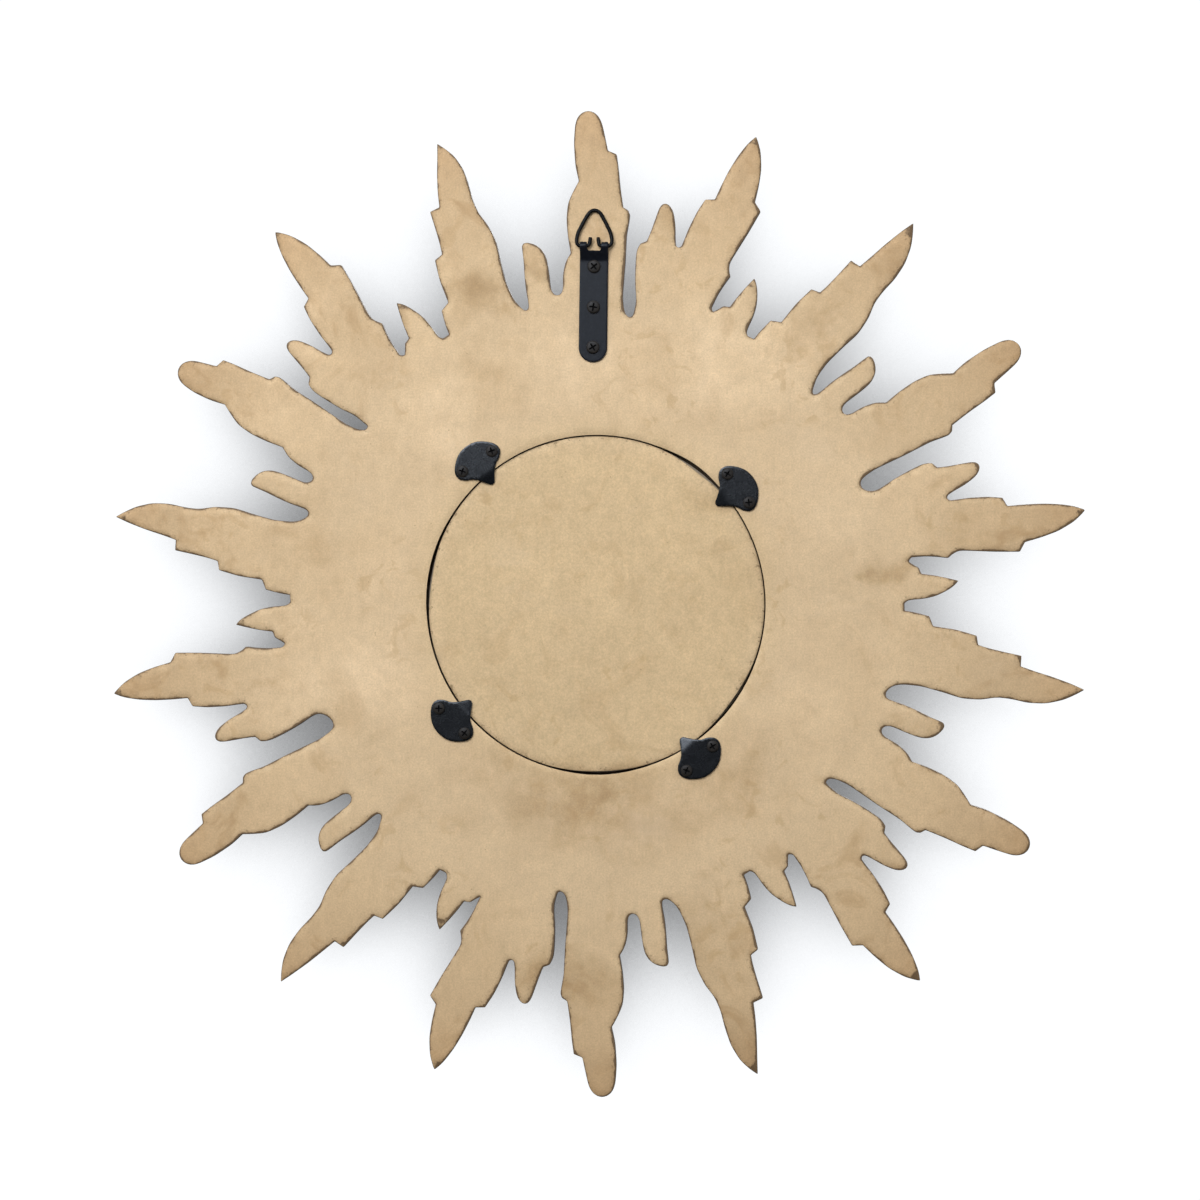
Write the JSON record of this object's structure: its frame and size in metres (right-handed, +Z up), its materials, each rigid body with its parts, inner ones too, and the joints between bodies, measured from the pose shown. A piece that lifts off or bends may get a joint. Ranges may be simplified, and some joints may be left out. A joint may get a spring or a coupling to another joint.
{
  "type": "sunburst wall mirror",
  "caption": "Round wall mirror in a carved sunburst frame of long and short flame rays, with a clipped-in back board and a strap hanger with a swinging ring.",
  "frame": {"origin": "the top of the hanging ring, where the wall hook carries the mirror, in the plane of the frame's back (1.5 mm behind the wire's middle)", "axes": "+Z up to the top ray, +Y out of the back towards the wall, -Y out of the mirror glass into the room, +X to the left as seen from the back"},
  "size_m": [0.6005, 0.0435, 0.6099],
  "materials": {
    "gilt_paint": "satin gold-beige paint, rubbed brown at the edges",
    "board_paint": "matt painted hardboard",
    "mirror_silver": "polished",
    "cushion_card": "matt",
    "clip_black": "satin black",
    "screw_black": "black oxide",
    "strap_black": "satin black",
    "ring_black": "gloss black"
  },
  "bodies": {
    "mirror": {"sunburst_frame": "gilt_paint", "back_board": "board_paint", "mirror_glass": "mirror_silver", "cushion_ring": "cushion_card", "clip_upper_left": "clip_black", "clip_upper_right": "clip_black", "clip_lower_left": "clip_black", "clip_lower_right": "clip_black", "screw_clip_upper_left_a": "screw_black", "screw_clip_upper_left_b": "screw_black", "screw_clip_upper_right_a": "screw_black", "screw_clip_upper_right_b": "screw_black", "screw_clip_lower_left_a": "screw_black", "screw_clip_lower_left_b": "screw_black", "screw_clip_lower_right_a": "screw_black", "screw_clip_lower_right_b": "screw_black", "hanger_strap": "strap_black", "screw_strap_1": "screw_black", "screw_strap_2": "screw_black", "screw_strap_3": "screw_black"},
    "ring": {"hanging_ring": "ring_black"}
  },
  "joints": [
    {"name": "ring_hinge", "type": "hinge", "parent": "mirror", "child": "ring", "pos_m": [0.0003, 0.00285, -0.0209], "axis": [-0.9999, 0, -0.014], "range_deg": [0, 134]}
  ]
}
